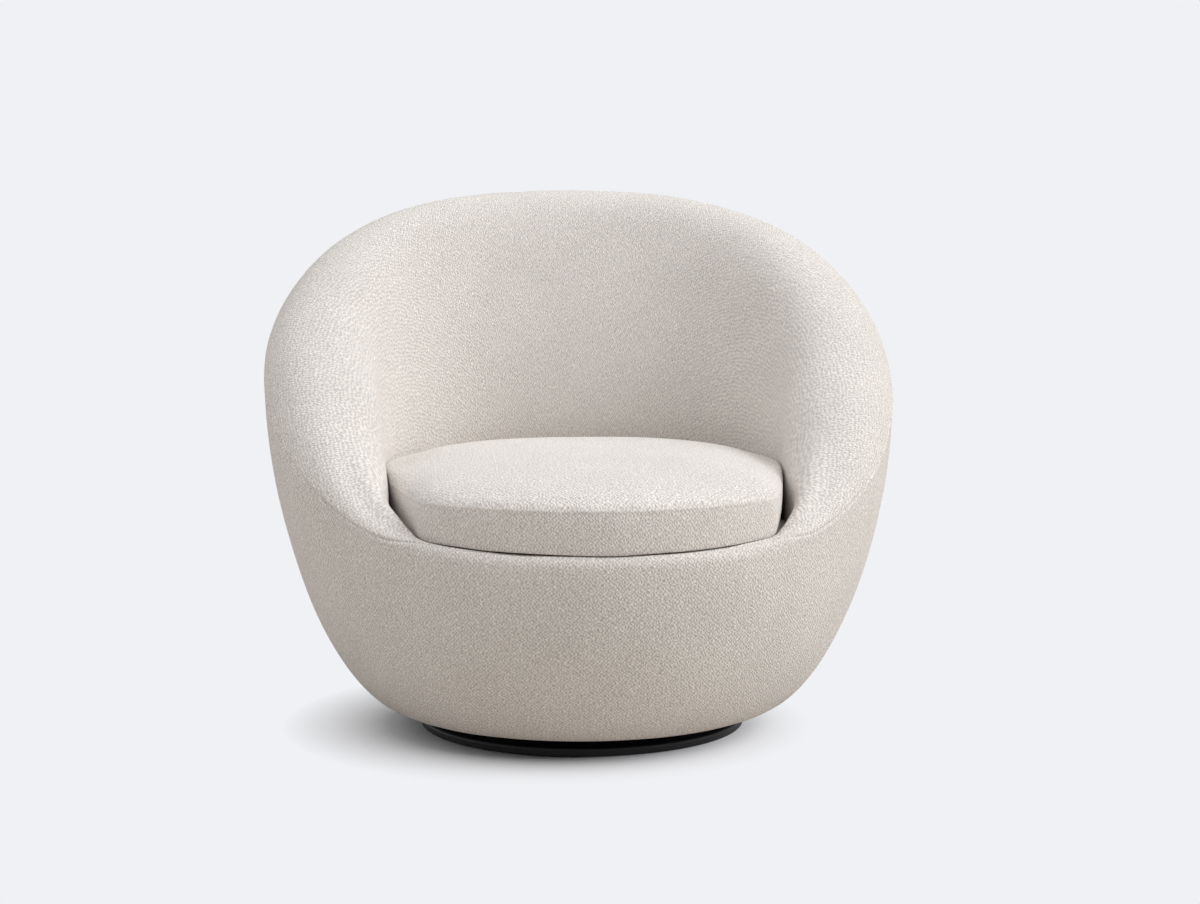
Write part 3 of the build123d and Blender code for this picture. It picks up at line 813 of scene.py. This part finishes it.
def upholstery(name, light, dark):
    """A nubby cream crepe: small loops set brick-wise on upright threads, painted darker in their
    low parts as shade.
    """
    f = Finish(name, Roughness=0.9, Sheen_Weight=0.12, Sheen_Roughness=0.5,
               Specular_IOR_Level=0.2)
    uv = f.node("TexCoord", None, FOLLOWS_CLOTH)
    wander = f.node("TexNoise", NOISE_2D, 1, Vector=uv, Scale=55.0, Detail=3.0)
    jitter = f.node("TexNoise", NOISE_2D, 1, Vector=uv, Scale=150.0, Detail=1.0)
    moved = f.node("VectorMath", {"operation": "MULTIPLY_ADD"}, 0,
                   n0=wander, n1=(0.0075, 0.006, 0), n2=uv)
    moved = f.node("VectorMath", {"operation": "MULTIPLY_ADD"}, 0,
                   n0=jitter, n1=(0.0055, 0.0055, 0), n2=moved)
    u = f.node("SeparateXYZ", None, 0, Vector=moved)
    v = f.node("SeparateXYZ", None, 1, Vector=moved)
    across, along = (u * (2 * pi / WARP)).wave(), (v * (2 * pi / WEFT)).wave()
    thread = (u * (2 * pi / THREAD)).wave()
    clumps = f.node("TexNoise", NOISE_2D, 0, Vector=uv, Scale=230.0, Detail=2.0)
    fuzz = f.node("TexNoise", NOISE_2D, 0, Vector=uv, Scale=760.0, Detail=2.0)
    height = 0.5 + across * along * 0.34 + thread * 0.1
    height = height + (clumps - 0.5) * 0.6 + (fuzz - 0.5) * 0.35
    where = f.node("TexCoord", None, FOLLOWS_PIECE)
    patches = f.node("TexNoise", None, 0, Vector=where, Scale=12.0, Detail=3.0)
    # The colour follows the weave's height, which is painted shade between the loops, laid over
    # the cloth's own random patches of tone.
    loop_shade_and_tone = height * 1.6 + (patches - 0.5) * 0.25 - 0.35
    return f.feed(Base_Color=f.mix(loop_shade_and_tone, dark, light), Normal=f.bump(height, 0.001, 0.8))


# The dark colour is the painted shade in the weave's low parts.
cream = upholstery("cream_crepe", (0.97, 0.915, 0.86, 1), (0.585, 0.545, 0.51, 1))


def plain_cloth(name, light, dark, pitch):
    """Cloth, felt, foam or wadding that is hidden in use: a fine grain with soft patches."""
    f = Finish(name, Roughness=0.95, Specular_IOR_Level=0.15)
    where = f.node("TexCoord", None, FOLLOWS_PIECE)
    grain = f.node("TexNoise", None, 0, Vector=where, Scale=1 / pitch, Detail=3.0)
    patches = f.node("TexNoise", None, 0, Vector=where, Scale=20.0, Detail=2.0)
    colour = f.mix(grain * 0.8 + patches * 0.3, dark, light)
    return f.feed(Base_Color=colour, Normal=f.bump(grain, 0.0004, 0.6))


def powder_coat(name):
    """Satin black powder coat with a faint orange peel."""
    f = Finish(name, Specular_IOR_Level=0.25)
    where = f.node("TexCoord", None, FOLLOWS_PIECE)
    peel = f.node("TexNoise", None, 0, Vector=where, Scale=700.0, Detail=2.0)
    dust = f.node("TexNoise", None, 0, Vector=where, Scale=45.0, Detail=4.0)
    colour = f.mix(dust, (0.006, 0.006, 0.0065, 1), (0.011, 0.011, 0.012, 1))
    return f.feed(Base_Color=colour, Roughness=0.42 + dust * 0.12,
                  Normal=f.bump(peel, 0.0001, 0.5))


def steel(name, colour, dark, rough):
    """Steel with a spangle of crystals and a haze."""
    f = Finish(name, Metallic=1.0)
    where = f.node("TexCoord", None, FOLLOWS_PIECE)
    spangle = f.node("TexVoronoi", None, 1, Vector=where, Scale=160.0)
    haze = f.node("TexNoise", None, 0, Vector=where, Scale=60.0, Detail=4.0)
    grey = f.node("RGBToBW", None, 0, Color=spangle)
    return f.feed(Base_Color=f.mix(grey * 0.5 + haze * 0.5, dark, colour),
                  Roughness=rough + haze * 0.2, Normal=f.bump(haze, 0.0002, 0.3))


def plywood(name):
    """Birch plywood: long grain with darker bands."""
    f = Finish(name, Roughness=0.6)
    where = f.node("TexCoord", None, FOLLOWS_PIECE)
    long_way = f.node("Mapping", None, 0, Vector=where, Scale=(18.0, 18.0, 260.0))
    plies = f.node("TexNoise", None, 0, Vector=long_way, Scale=1.0, Detail=5.0, Distortion=0.4)
    flecks = f.node("TexNoise", None, 0, Vector=where, Scale=220.0, Detail=2.0)
    colour = f.mix(plies, (0.40, 0.26, 0.14, 1), (0.78, 0.62, 0.42, 1))
    return f.feed(Base_Color=colour, Normal=f.bump(plies * 0.7 + flecks * 0.3, 0.0004, 0.5))


def nylon(name):
    """Moulded nylon, a little cloudy."""
    f = Finish(name, Roughness=0.45)
    where = f.node("TexCoord", None, FOLLOWS_PIECE)
    flow = f.node("TexNoise", None, 0, Vector=where, Scale=50.0, Detail=3.0)
    colour = f.mix(flow, (0.62, 0.60, 0.54, 1), (0.74, 0.72, 0.66, 1))
    return f.feed(Base_Color=colour, Roughness=0.4 + flow * 0.15)


# Slots whose finish is a plain cloth: its name, light and dark colour, and grain in metres.
CLOTHS = {
    "lining": ("black_lining", (0.05, 0.05, 0.052, 1), (0.02, 0.02, 0.021, 1), 0.0012),
    "platform_cloth": ("platform_cloth", (0.66, 0.61, 0.54, 1), (0.50, 0.46, 0.40, 1), 0.0011),
    "webbing": ("elastic_webbing", (0.07, 0.07, 0.075, 1), (0.025, 0.025, 0.027, 1), 0.0016),
    "foam": ("seat_foam", (0.86, 0.80, 0.62, 1), (0.66, 0.58, 0.40, 1), 0.0015),
    "wadding": ("polyester_wadding", (0.92, 0.92, 0.91, 1), (0.74, 0.74, 0.73, 1), 0.004),
    "felt": ("pressed_felt", (0.08, 0.08, 0.08, 1), (0.03, 0.03, 0.03, 1), 0.0009),
}
finishes = {"upholstery": cream}
for slot, about in CLOTHS.items():
    finishes[slot] = plain_cloth(*about)
finishes["plywood"] = plywood("birch_plywood")
finishes["base_paint"] = powder_coat("black_powder_coat")
finishes["plated_steel"] = steel("zinc_plated_steel", (0.66, 0.67, 0.68, 1),
                                 (0.40, 0.41, 0.43, 1), 0.32)
finishes["roller_steel"] = steel("ground_steel", (0.72, 0.72, 0.72, 1),
                                 (0.52, 0.52, 0.52, 1), 0.22)
finishes["cage_plastic"] = nylon("natural_nylon")
for part in frame["record"]["subparts"]:
    obj = nodes[part["node"]]
    obj.data.materials.clear()
    obj.data.materials.append(finishes[part["material_slot"]])


# ---- pieces, their bodies and what they stand for -------------------------------------------
def dress(obj, body, slot, *replaced):
    """Gives a piece its finish and its body, and hides the CAD nodes that it stands for."""
    obj.data.materials.clear()
    obj.data.materials.append(finishes[slot])
    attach(obj, body)
    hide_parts(*replaced)


dress(rim, "tub", "upholstery", "rim_cover")
dress(front, "tub", "upholstery", "outer_front_cover")
dress(back, "tub", "upholstery", "outer_back_cover")
dress(deck_pad, "tub", "platform_cloth", "deck_cloth", "deck_pad")
dress(under, "tub", "lining", "dust_cover")
dress(cushion, "cushion", "upholstery", "cushion_top_panel", "cushion_side_band",
      "cushion_bottom_panel", "cushion_wadding")

# ---- floor, light and camera ---------------------------------------------------------------
BACKDROP = (0.871, 0.879, 0.904, 1)
UPWARD = 1.05                       # light on a level surface; at 1 a colour shows as written
BOUNCE = (0.61, 0.566, 0.52, 1)     # what the floor gives back to the object
SHADOW_MIDDLE = (-0.05, 0.0, 0.0)   # the floor takes the object's shadow round this point
SHADOW_FADE = (0.22, 0.15)          # fully out to here, then fading out over this, metres
FLOOR_SIZE = 24
FILL = 0.09                         # light from all round
COOL = (0.985, 1.0, 1.015)          # the lamps' colour
LENS = 77.28
VIEWER = (-0.2693, -3.5367, 0.8058)
LOOKS_DOWN = 6.86                   # degrees
LOOKS_RIGHT = 4.76


def shown(tree):
    """1 for what the camera, a gloss or a clear piece sees, and 0 for light on a matt surface."""
    path = tree.nodes.new("ShaderNodeLightPath")
    camera, gloss, clear = [Value(tree, path.outputs["Is " + kind + " Ray"])
                            for kind in ("Camera", "Glossy", "Transmission")]
    return camera.most(gloss).most(clear)


def mixed(tree, factor, one, other, output):
    """Mixes two shaders into an output."""
    mix = tree.nodes.new("ShaderNodeMixShader")
    connect(tree, factor, mix.inputs[0])
    tree.links.new(one.outputs[0], mix.inputs[1])
    tree.links.new(other.outputs[0], mix.inputs[2])
    tree.links.new(mix.outputs[0], output.inputs["Surface"])


def floor():
    """A pale floor that shows the backdrop's colour, apart from the shadow near the base."""
    deselect()
    bpy.ops.mesh.primitive_plane_add(size=FLOOR_SIZE)
    obj = named(bpy.context.object, "floor")
    f = Finish("pale_floor", Roughness=1.0, Specular_IOR_Level=0.0)
    where = f.node("TexCoord", None, FOLLOWS_PIECE)
    near = f.node("VectorMath", {"operation": "DISTANCE"}, 1, n0=where, n1=SHADOW_MIDDLE)
    fade = ((near - SHADOW_FADE[0]) / SHADOW_FADE[1]).most(0.0).least(1.0)
    seen = shown(f.tree)
    lit = tuple(c / UPWARD for c in BACKDROP[:3]) + (1,)
    f.feed(Base_Color=f.mix(seen, BOUNCE, lit))
    glow = f.tree.nodes.new("ShaderNodeEmission")
    glow.inputs["Color"].default_value = BACKDROP
    mixed(f.tree, fade * seen, f.shader, glow, f.tree.nodes["Material Output"])
    obj.data.materials.append(f.material)


floor()


def surroundings(strength):
    """The backdrop's colour for the camera, and a weak white fill for everything else."""
    world = bpy.data.worlds.new("studio")
    scene.world = world
    world.use_nodes = True
    tree = world.node_tree
    fill = tree.nodes["Background"]
    fill.inputs["Color"].default_value = (1, 1, 1, 1)
    fill.inputs["Strength"].default_value = strength
    seen = tree.nodes.new("ShaderNodeBackground")
    seen.inputs["Color"].default_value = BACKDROP
    mixed(tree, shown(tree), fill, seen, tree.nodes["World Output"])


surroundings(FILL)


def lamp(name, direction, spread, level):
    """A distant soft lamp; its level is what it gives a surface that faces it."""
    light = bpy.data.lights.new(name, "SUN")
    light.angle = radians(spread)
    light.energy = level * pi
    light.color = COOL
    obj = bpy.data.objects.new(name, light)
    scene.collection.objects.link(obj)
    obj.rotation_euler = (-Vector(direction)).to_track_quat("-Z", "Y").to_euler()


lamp("overhead", (0, 0, 1), 60, 0.275)
lamp("right", (0.8, -0.1, 0.6), 45, 0.51)
lamp("front_right", (0.6, -0.5, 0.6), 45, 0.32)
lamp("left", (-0.8, -0.1, 0.6), 45, 0.31)

camera = bpy.data.cameras.new("camera")
camera.lens = LENS
camera.sensor_width = 36
camera.clip_end = 100
viewer = bpy.data.objects.new("camera", camera)
scene.collection.objects.link(viewer)
viewer.location = VIEWER
viewer.rotation_euler = (radians(90 - LOOKS_DOWN), 0, radians(-LOOKS_RIGHT))
scene.camera = viewer
scene.view_settings.view_transform = "Standard"
